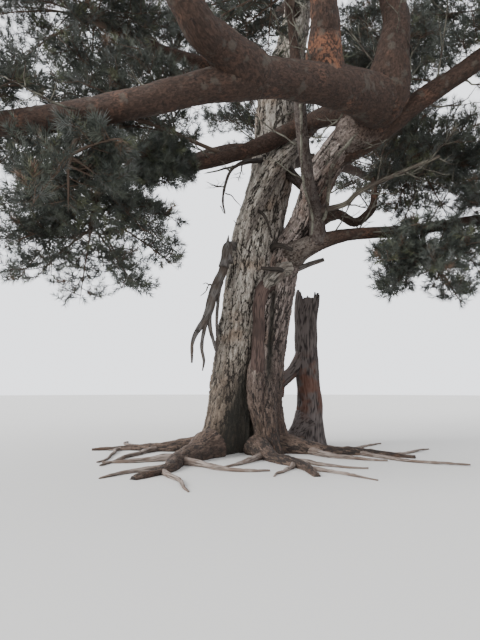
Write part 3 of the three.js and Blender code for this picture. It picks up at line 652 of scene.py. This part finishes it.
def tear(piece, middle, height):
    """Sinks the end of a stem to a rotten hollow, and pulls its rim up into splinters."""
    shell = bmesh.new()
    shell.from_mesh(piece.data)
    rim = max((face for face in shell.faces if len(face.verts) > 4),
              key=lambda face: face.calc_center_median().z)
    for narrow, sink in ((0.8, 0.0), (0.85, -0.3), (0.4, -0.15)):
        made = bmesh.ops.extrude_discrete_faces(shell, faces=[rim])
        rim = made["faces"][0]
        centre = rim.calc_center_median()
        for corner in rim.verts:
            corner.co = centre + (corner.co - centre) * narrow + Vector((0, 0, sink))
    for corner in shell.verts:
        heading = math.atan2(corner.co.y - middle[1], corner.co.x - middle[0])
        spikes = 0.17 * max(0, -math.cos(heading)) ** 8 + 0.12 * max(0, math.cos(heading - 0.3)) ** 2
        ragged = 0.09 * noise.noise(Vector((3.1 * math.cos(heading), 3.1 * math.sin(heading), 5)))
        ragged += 0.05 * noise.noise(Vector((11 * math.cos(heading), 11 * math.sin(heading), 9)))
        near = min(max((corner.co.z - height) / 0.4, 0), 1)
        corner.co.z += (spikes + ragged - 0.05) * near * near
    shell.to_mesh(piece.data)
    shell.free()


for name, depth in (("broken_stem", 0.035), ("broken_spur", 0.015)):
    wood = skin(name + "_wood", routes[name], 0.017, bare_wood, depth, lumps=0.1)
    if name == "broken_stem":
        tear(wood, routes[name].at(1.0), 2.5)
    place(wood, broken_finish, "dead_wood", name)
toe = skin("broken_stem_toe", Route(
    [(1.4, 0.8, 0.5), (1.2, 0.74, 0.28), (1.02, 0.7, 0.12), (0.82, 0.66, 0.06)],
    [0.2, 0.14, 0.1, 0.05]), 0.017, bare_wood, 0.025, lumps=0.12)
place(toe, broken_finish, "dead_wood", "broken_stem")


# The bare twigs: thin dead wood with grey-green lichen, left on the boughs below the green crown where the
# light no longer reaches, and a few stubs and broken branches on the trunk itself.
def turned(directions, degrees):
    """Directions swung about the upright."""
    angle = np.radians(degrees)
    x, y, z = directions.T
    return np.column_stack([x * np.cos(angle) - y * np.sin(angle), x * np.sin(angle) + y * np.cos(angle), z])


def unit(directions):
    return directions / np.linalg.norm(directions, axis=-1, keepdims=True)


def bowed(feet, directions, lengths, rise, count):
    """Lines of a few points each that start along a direction and lift towards their ends."""
    t = np.linspace(0, 1, count)[None, :, None]
    lengths = lengths[:, None, None]
    return feet[:, None] + directions[:, None] * lengths * t + np.array([0, 0, rise]) * lengths * t**2


def side_shoots(lines, count, first, swing, lean, seed):
    """Where side shoots leave a set of lines, and which way: left and right in turn, leaning out and up."""
    made = len(lines)
    order = np.tile(np.arange(count), made)
    seeds = seed + np.arange(made * count) * 1.37
    share = first + (1 - first) * (order + chance(seeds)) / count
    spot = np.repeat(np.arange(made), count)
    step = share * (lines.shape[1] - 1)
    k = np.minimum(step.astype(int), lines.shape[1] - 2)
    here, there = lines[spot, k], lines[spot, k + 1]
    feet = here + (there - here) * (step - k)[:, None]
    swings = (swing[0] + (swing[1] - swing[0]) * chance(seeds + 3)) * np.where(order % 2, 1, -1)
    out = turned(unit(there - here), swings)
    out[:, 2] = lean * (2 * chance(seeds + 5) - 0.75) + 0.5 * out[:, 2]
    return feet, unit(out), share, seeds


def crosswise(along):
    """Two directions square to each given one and to each other."""
    level = np.where(np.abs(along[..., 2:]) > 0.9, (1.0, 0, 0), (0, 0, 1.0))
    across = unit(np.cross(along, level))
    return across, np.cross(along, across)


def rods(lines, foot, tip, sides):
    """Tapering rods along lines, each closed to a point at its end, as corners and three-cornered faces."""
    many, count = lines.shape[:2]
    across, side = crosswise(unit(np.gradient(lines, axis=1)))
    turn = 2 * np.pi * np.arange(sides) / sides
    foot, tip = np.broadcast_to(foot, many), np.broadcast_to(tip, many)
    radii = foot[:, None] + (tip - foot)[:, None] * np.linspace(0, 1, count)
    ring = (across[:, :, None] * np.cos(turn)[:, None] + side[:, :, None] * np.sin(turn)[:, None])
    corners = lines[:, :, None] + ring * radii[:, :, None, None]
    corners = np.concatenate([corners[:, :-1].reshape(many, -1, 3), lines[:, -1:]], axis=1)
    faces = []
    for k in range(count - 1):
        for j in range(sides):
            a, b = k * sides + j, k * sides + (j + 1) % sides
            if k < count - 2:
                faces += [(a, a + sides, b), (b, a + sides, b + sides)]
            else:
                faces.append((a, (count - 1) * sides, b))
    faces += [(0, j, j + 1) for j in range(1, sides - 1)]
    faces = np.array(faces)[None] + (np.arange(many) * corners.shape[1])[:, None, None]
    return corners.reshape(-1, 3), faces.reshape(-1, 3)


def joined(name, parts, finishes, kinds=None):
    """One mesh from arrays of corners and faces."""
    starts = np.cumsum([0] + [len(corners) for corners, _ in parts])
    corners = np.concatenate([corners for corners, _ in parts])
    faces = np.concatenate([faces + start for (_, faces), start in zip(parts, starts)])
    mesh = bpy.data.meshes.new(name)
    mesh.vertices.add(len(corners))
    mesh.vertices.foreach_set("co", corners.astype(np.float32).ravel())
    mesh.loops.add(faces.size)
    mesh.loops.foreach_set("vertex_index", faces.astype(np.int32).ravel())
    mesh.polygons.add(len(faces))
    mesh.polygons.foreach_set("loop_start", np.arange(0, faces.size, 3, dtype=np.int32))
    for finish in finishes:
        mesh.materials.append(finish)
    if kinds is not None:
        mesh.polygons.foreach_set("material_index", kinds.astype(np.int32))
    mesh.update(calc_edges=True)
    return shown(name, mesh)


def lichened():
    finish = bpy.data.materials.new("lichened twigs")
    finish.use_nodes = True
    base = Paint(finish.node_tree)
    spots = base.node("ShaderNodeTexCoord", out=3)
    grain = mottle(spots, 40, 4)
    crust = rising(mottle(spots, 5, 3) + grain * 0.5, 0.62, 0.9)
    colour = mixed(crust, (0.045, 0.035, 0.028), (0.14, 0.136, 0.108))
    return settle(finish, colour, 0.95 - 0.1 * grain, grain, 0.003)


lichen_finish = lichened()
stubs = []
for points, foot, tip in (
    ([(0.3, -0.3, 5.42), (0.1, -0.52, 5.27), (-0.16, -0.6, 5.15), (-0.45, -0.65, 5.05),
      (-0.62, -0.7, 4.99)], 0.035, 0.01),
    ([(-0.21, -0.6, 4.66), (-0.1, -0.6, 4.62), (0.0, -0.58, 4.5), (0.1, -0.55, 4.4)], 0.013, 0.005),
    ([(-0.3, -0.6, 4.42), (-0.24, -0.6, 4.3), (-0.2, -0.6, 4.27)], 0.012, 0.004),
    ([(0.15, -0.3, 3.98), (0.02, -0.42, 4.1), (-0.07, -0.5, 4.19)], 0.016, 0.007),
    ([(1.44, -0.9, 3.95), (1.55, -0.95, 4.1), (1.56, -1.2, 4.29), (1.55, -1.55, 4.64), (1.63, -1.75, 4.8),
      (1.77, -2.05, 4.91), (1.85, -2.25, 4.95)], 0.042, 0.02),
    ([(1.0, -2.0, 5.55), (1.01, -2.08, 5.36), (1.02, -1.9, 4.96), (1.08, -1.62, 4.41), (1.22, -1.3, 4.18),
      (1.31, -1.08, 3.99), (1.31, -0.96, 3.77), (1.25, -0.9, 3.62)], 0.022, 0.02),
    ([(0.6, -0.3, 5.7), (0.68, -0.68, 5.86), (0.72, -0.72, 6.0), (0.82, -0.72, 6.2)], 0.026, 0.012),
    ([(0.75, -0.55, 6.05), (0.9, -0.7, 6.14), (1.05, -0.7, 6.2), (1.14, -0.7, 6.3),
      (1.13, -0.7, 6.52)], 0.02, 0.008),
    ([(0.4, -0.3, 6.0), (0.42, -0.62, 6.02), (0.36, -0.7, 6.16)], 0.04, 0.012),
    ([(-0.42, -0.47, 2.95), (-0.5, -0.5, 2.96), (-0.56, -0.52, 2.84), (-0.66, -0.52, 2.75)], 0.02, 0.006),
    ([(-0.5, -0.5, 2.96), (-0.56, -0.5, 3.0), (-0.62, -0.5, 2.98)], 0.012, 0.005),
):
    line = Route(points, [foot] * len(points)).at(np.linspace(0, 1, 12))
    line[1:] += 0.012 * drift(line[1:] * 9)
    stubs.append(rods(line[None], foot, tip, 7))
for number, (limb, shares) in enumerate((
    ("bough_right_high", (0.06, 0.12, 0.18, 0.24, 0.3, 0.36, 0.42, 0.5, 0.58, 0.66, 0.74)),
    ("bough_right_low", (0.2, 0.3, 0.42, 0.55)),
    ("bough_upright", (0.2, 0.32, 0.45, 0.58, 0.7, 0.82)), ("bough_hook", (0.3, 0.55, 0.8)),
    ("dead_branch_right", (0.25, 0.4, 0.52, 0.64, 0.74, 0.84, 0.92, 0.99)),
    ("bough_left_mid", (0.35, 0.5, 0.6, 0.7, 0.85)),
    ("stem_front", (0.2, 0.45, 0.7)), ("arm_front", (0.3, 0.6)), ("bough_front_left", (0.3, 0.55, 0.75)),
    ("bough_inner", (0.4, 0.55, 0.7, 0.85)), ("dead_branch_left", (0.45, 0.6, 0.75)),
    ("stem_side", (0.62, 0.7, 0.78, 0.9, 0.96)), ("stem_front", (0.1, 0.3, 0.55, 0.85)),
    ("bough_inner", (0.3, 0.48, 0.62, 0.78)), ("bough_right_low", (0.36, 0.48, 0.62, 0.75)),
    ("bough_front_rise", (0.3, 0.5, 0.7)), ("bough_over", (0.5, 0.8)), ("bough_back_left", (0.3, 0.5)),
    ("bough_back_right", (0.3, 0.5)), ("bough_left_high", (0.3, 0.5)),
)):
    route = routes[limb]
    shares = np.array(shares)
    seeds = 900 + 31 * number + np.arange(len(shares)) * 2.3
    ahead, turn = route.along(shares), 2 * np.pi * chance(seeds)[:, None]
    level = unit(np.cross(ahead, (0, 0.2, 1.0)))
    out = level * np.cos(turn) + np.cross(ahead, level) * np.sin(turn)
    lengths = (0.45 + 0.65 * chance(seeds + 1)) * (0.7 if limb.startswith("dead") else 1)
    feet = route.at(shares) + out * route.radius(shares)[:, None] * 0.8
    mains = bowed(feet, unit(out + 0.7 * ahead), lengths, 0.2, 9)
    mains[:, 2:] += 0.035 * drift(mains[:, 2:] * 6)
    feet, way, share, _ = side_shoots(mains, 5, 0.25, (30, 75), 0.5, 40.0 * number)
    sides = bowed(feet, way, np.repeat(lengths, 5) * (0.55 - 0.3 * share), 0.15, 6)
    sides[:, 2:] += 0.02 * drift(sides[:, 2:] * 11)
    feet, way, _, seeds = side_shoots(sides, 3, 0.3, (25, 70), 0.5, 40.0 * number + 20)
    tips = bowed(feet, way, 0.05 + 0.09 * chance(seeds), 0.1, 3)
    stubs += [rods(mains, 0.016, 0.006, 5), rods(sides, 0.008, 0.004, 4), rods(tips, 0.003, 0.0015, 3)]
place(joined("bare_twigs", stubs, []), lichen_finish, "dead_wood", "dead_branch_left", "dead_branch_right")


# The masses of needles: each a bough's end that forks again and again. Its stem and first twigs stand where
# the solid's do, finer twigs fill the same reach by the same rule, and each shoot bears a brush of needles.
GOLDEN = 137.5                    # degrees from one twig or needle to the next
SOLID_TWIGS = 4                   # the first twigs of a mass, which the solid has as well
EDGE, BETWEEN = 0.97, 0.06        # a mass's reach and its distance from the next, as shares of its half sizes
PAIRS = 13                        # of needles on a shoot
SPACING = 0.08                    # metres between the places on the limbs that twigs keep clear of
TWIG_ROOM, SHOOT_ROOM = 0.03, 0.05    # metres that they keep clear of each limb's surface
# Each mass: its limb and where on it, its middle, its half sizes, and how full it is. Their order numbers the
# seeds, and is the source's.
SPACES = {
    "left_low": ("bough_left_mid", 1, (-2.45, -1.3, 3.55), (1.75, 1.35, 1.25), 2.2),
    "left_inner": ("bough_left_mid", 0.8, (-1.3, -1.5, 4.75), (0.7, 0.75, 0.6), 1.9),
    "left_upper": ("bough_left_mid", 0.62, (-2.2, -1.3, 5.95), (1.85, 1.4, 1.15), 1.65),
    "front_left": ("bough_front_left", 1, (-3.9, -3.6, 4.6), (1.7, 1.6, 1.3), 1.7),
    "front_under": ("bough_front_left", 0.55, (-1.9, -3.9, 3.5), (1.0, 0.9, 0.65), 1.2),
    "over": ("bough_over", 1, (-1.8, -5.6, 6.7), (1.85, 1.6, 1.25), 1.0),
    "front_rise": ("bough_front_rise", 1, (0.5, -4.5, 8.3), (1.85, 1.6, 1.25), 0.9),
    "front_stem": ("stem_front", 1, (2.4, -2.7, 9.4), (1.85, 1.7, 1.4), 1.0),
    "upright": ("bough_upright", 1, (0.2, -2.1, 7.5), (1.6, 1.4, 1.1), 1.1),
    "right_high": ("bough_right_high", 1, (4.6, -2.6, 6.6), (1.8, 1.65, 1.25), 1.5),
    "right_low": ("bough_right_low", 1, (4.85, -0.95, 4.3), (1.4, 1.3, 1.2), 1.6),
    "right_under": ("bough_right_low", 0.72, (3.35, -0.85, 3.25), (1.2, 1.1, 0.95), 2.1),
    "right_mid": ("bough_hook", 1, (4.0, -0.2, 5.35), (1.6, 1.3, 1.3), 2.0),
    "inner": ("bough_inner", 1, (3.1, 0.4, 7.8), (1.7, 1.5, 1.25), 1.25),
    "back": ("bough_back", 1, (0.8, 4.0, 8.9), (2.05, 1.7, 1.4), 1.0),
    "back_left": ("bough_back_left", 1, (-3.1, 3.0, 7.2), (1.85, 1.55, 1.2), 1.0),
    "back_right": ("bough_back_right", 1, (4.2, 3.2, 7.1), (1.9, 1.8, 1.3), 1.35),
    "left_high": ("bough_left_high", 1, (-3.2, -0.6, 8.4), (2.05, 1.85, 1.4), 1.95),
    "back_left_high": ("bough_back_left_high", 1, (-1.8, 2.0, 9.4), (1.9, 1.7, 1.3), 1.3),
    "right_back_high": ("bough_right_back_high", 1, (3.9, 1.6, 9.5), (1.95, 1.7, 1.3), 1.3),
    "front_high": ("bough_front_high", 1, (0.1, -2.9, 10.5), (1.85, 1.65, 1.3), 0.9),
    "back_high": ("bough_back_high", 1, (0.2, 2.8, 11.1), (1.85, 1.6, 1.25), 0.88),
    "crown_left": ("bough_crown_left", 1, (-1.2, -0.4, 11.8), (1.7, 1.6, 1.25), 0.9),
    "crown_right": ("bough_crown_right", 1, (3.0, -0.3, 12.0), (1.65, 1.55, 1.25), 0.9),
    "top": ("stem_main", 1, (0.9, 0, 13.35), (1.7, 1.6, 1.25), 1.0),
}
ORDER = list(SPACES)
centres = np.array([space[2] for space in SPACES.values()])
halves = np.array([space[3] for space in SPACES.values()])
steps = [np.linspace(0, 1, max(8, int(route.length / SPACING))) for route in routes.values()]
wood_spots = np.concatenate([route.at(shares) for route, shares in zip(routes.values(), steps)])
wood_radii = np.concatenate([route.radius(shares) for route, shares in zip(routes.values(), steps)])


def in_own_space(number, points):
    """Whether each point keeps to its mass's space, and out of the others'."""
    depths = np.linalg.norm((points[:, None] - centres) / halves, axis=-1)
    own = depths[:, number].copy()
    depths[:, number] = np.inf
    return (own < EDGE) & (own < depths.min(1) - BETWEEN)


def clear_of_limbs(points, room):
    """Whether each point lies that many metres or more from every limb's surface."""
    apart = np.linalg.norm(points[:, None] - wood_spots, axis=-1) - wood_radii
    return apart.min(1) > room


def foliage(number, name):
    """The branches, twigs and shoots of one mass, as lines from foot to tip."""
    limb, share, middle, half, fullness = SPACES[name]
    route, middle, half = routes[limb], np.array(middle), np.array(half)
    at_tip = share == 1
    tangent = route.along(1.0) if at_tip else unit(middle - route.at(share))
    foot = route.at(share) - (tangent * 0.03 if at_tip else 0)
    thick = route.radius(1.0) if at_tip else 0.041
    bend = foot + tangent * 0.35 * np.linalg.norm(middle - foot)
    stem = Route([foot, bend, middle], thick * np.array([1, 0.85, 0.6]))
    size = (half[0] + half[1]) / 2
    count = round(fullness * (4 + 10 * (half.prod() / 3.6) ** (2 / 3)))
    branches = []
    for k in range(count):
        seed = 100 * number + 7 * k
        first = k < SOLID_TWIGS
        rise = 0.66 - 0.42 * k if first else 0.92 - 1.8 * (k - SOLID_TWIGS) / max(count - SOLID_TWIGS - 1, 1)
        out = pointing(GOLDEN * k + 360 * chance(seed) * first, 0) * math.sqrt(1 - rise**2)
        out[2] = rise
        fork = stem.at(0.3 + 0.65 * chance(seed + 1))
        t = np.linspace(0, 1, 6)[:, None]
        for reach in (0.46,) if first else (0.94, 0.84, 0.72, 0.58):
            tip = middle + half * out * reach
            line = fork + (tip - fork) * t + np.array([0, 0, 0.18]) * np.linalg.norm(tip - fork) * t * (1 - t)
            if in_own_space(number, line[2:]).all() and clear_of_limbs(line[2:], TWIG_ROOM).all():
                branches.append(line)
                break
    branches = np.array(branches)
    feet, out, share, seeds = side_shoots(branches, 9, 0.25, (35, 70), 0.6, 1000.0 * number)
    lengths = size * (0.5 - 0.22 * share) * (0.8 + 0.4 * chance(seeds + 8))
    twigs = bowed(feet, out, lengths, 0.15, 4)
    shorter = bowed(feet, out, 0.55 * lengths, 0.15, 4)
    twigs = np.where(in_own_space(number, twigs[:, -1])[:, None, None], twigs, shorter)
    twigs = twigs[in_own_space(number, twigs[:, -1]) & clear_of_limbs(twigs[:, -1], TWIG_ROOM)]
    ends = np.concatenate([twigs, branches[:, 2:]])
    feet, out, _, seeds = side_shoots(ends, 9, 0.15, (25, 70), 0.9, 1000.0 * number + 500)
    shoots = bowed(feet, out, 0.15 + 0.1 * chance(seeds + 8), 0.25, 2)
    tips = shoots[:, -1]
    kept = in_own_space(number, tips) & clear_of_limbs(tips, SHOOT_ROOM)
    return stem, branches, twigs, shoots[kept], seeds[kept]


def brushes(shoots, seeds, length=0.115, width=0.012):
    """The needles of each shoot: pairs set round it by the golden turn, pointing out and forward."""
    foot, tip = shoots[:, 0], shoots[:, -1]
    axis = unit(tip - foot)
    across, side = crosswise(axis)
    j = np.arange(PAIRS)
    spot = foot[:, None] + (tip - foot)[:, None] * (0.2 + 0.8 * (j + 0.5) / PAIRS)[None, :, None]
    turn = np.radians(GOLDEN * j)[None] + 6.28 * chance(seeds)[:, None]
    out = across[:, None] * np.cos(turn)[..., None] + side[:, None] * np.sin(turn)[..., None]
    open_by = np.radians(62 - 34 * (j / PAIRS))[None] + 0.35 * (chance(seeds[:, None] * 1.9 + j * 5.1) - 0.5)
    way = axis[:, None] * np.cos(open_by)[..., None] + out * np.sin(open_by)[..., None]
    roll = np.pi * chance(seeds[:, None] * 3.1 + j * 2.3)[..., None]
    aslant = np.cross(axis[:, None], out)
    flat = aslant * np.cos(roll) + np.cross(way, aslant) * np.sin(roll)
    reach = length * (0.85 + 0.3 * chance(seeds[:, None] * 2.7 + j))[..., None]
    far = spot + way * reach
    corners = np.stack([spot - flat * width / 2, spot + flat * width / 2,
                        far - flat * 0.16 * reach, far + flat * 0.16 * reach], axis=2)
    faces = np.array([(0, 1, 2), (1, 0, 3)])[None] + 4 * np.arange(corners[..., 0, 0].size)[:, None, None]
    return corners.reshape(-1, 3), faces.reshape(-1, 3)


def plain(name, colour, roughness=0.6):
    """A material of one colour."""
    finish = bpy.data.materials.new(name)
    finish.use_nodes = True
    shader = finish.node_tree.nodes["Principled BSDF"]
    shader.inputs["Base Color"].default_value = (*colour, 1)
    shader.inputs["Roughness"].default_value = roughness
    shader.inputs["Specular IOR Level"].default_value = DRY
    return finish


GREENS = [
    plain("needles deep", (0.043, 0.05, 0.042)), plain("needles dark", (0.06, 0.068, 0.056)),
    plain("needles mid", (0.083, 0.093, 0.072)), plain("needles grey", (0.105, 0.112, 0.102)),
    plain("needles young", (0.12, 0.13, 0.076)), plain("needles brown", (0.135, 0.088, 0.06)),
]
SHARES = np.cumsum([0.28, 0.28, 0.22, 0.12, 0.07])   # of the shoots in each green but the last
twig_finish = plain("twig bark", (0.085, 0.06, 0.045), 0.9)
for group, names in (
    ("left", ["left_low", "left_inner", "left_upper"]),
    ("front_left", ["front_left", "front_under", "left_high"]),
    ("front", ["over", "front_rise", "front_stem", "upright", "front_high"]),
    ("right", ["right_low", "right_under", "right_mid"]), ("right_high", ["right_high", "inner"]),
    ("back", ["back", "back_left", "back_right", "back_left_high"]),
    ("crown", ["right_back_high", "back_high", "crown_left", "crown_right", "top"]),
):
    wood, needles, dealt = [], [], []
    for name in names:
        stem, branches, twigs, shoots, seeds = foliage(ORDER.index(name), name)
        wood.append(rods(stem.at(np.linspace(0, 1, 7))[None], stem.radii[0], stem.radii[-1], 8))
        wood.append(rods(branches, 0.02, 0.007, 5))
        wood.append(rods(twigs, 0.009, 0.003, 4))
        wood.append(rods(shoots, 0.0045, 0.002, 3))
        needles.append(brushes(shoots, seeds))
        dealt.append(np.repeat(np.searchsorted(SHARES, chance(seeds * 0.77 + 4)), 2 * PAIRS))
    nodes = ["mass_" + name for name in names]
    for piece in (joined("twigs_" + group, wood, [twig_finish]),
                  joined("needles_" + group, needles, GREENS, np.concatenate(dealt))):
        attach(piece, "root")
        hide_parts(*nodes)


# The studio: a plain pale floor, soft light from all round and a soft sun, and the camera at the
# photograph's place, low and close, looking 8 degrees upwards.
floor_mesh = bpy.data.meshes.new("floor")
ground = bmesh.new()
bmesh.ops.create_circle(ground, cap_ends=True, segments=96, radius=70)
ground.to_mesh(floor_mesh)
ground.free()
floor_mesh.materials.append(plain("pale floor", (0.5, 0.49, 0.47), 0.9))
shown("floor", floor_mesh)

world = bpy.data.worlds.new("studio")
world.use_nodes = True
world.node_tree.nodes["Background"].inputs["Color"].default_value = (0.86, 0.88, 0.92, 1)
world.node_tree.nodes["Background"].inputs["Strength"].default_value = 2.5
bpy.context.scene.world = world

sun = bpy.data.lights.new("soft sun", "SUN")
sun.energy, sun.angle = 4.6, math.radians(30)
shown("soft sun", sun).rotation_euler = Vector((-0.8, -0.35, 0.5)).to_track_quat("Z", "Y").to_euler()

lens = bpy.data.cameras.new("camera")
lens.lens, lens.sensor_width, lens.clip_end = 27, 36, 400
camera = shown("camera", lens)
camera.location, camera.rotation_euler = (0.06, -9.0, 1.13), (math.radians(98), 0, 0)
bpy.context.scene.camera = camera
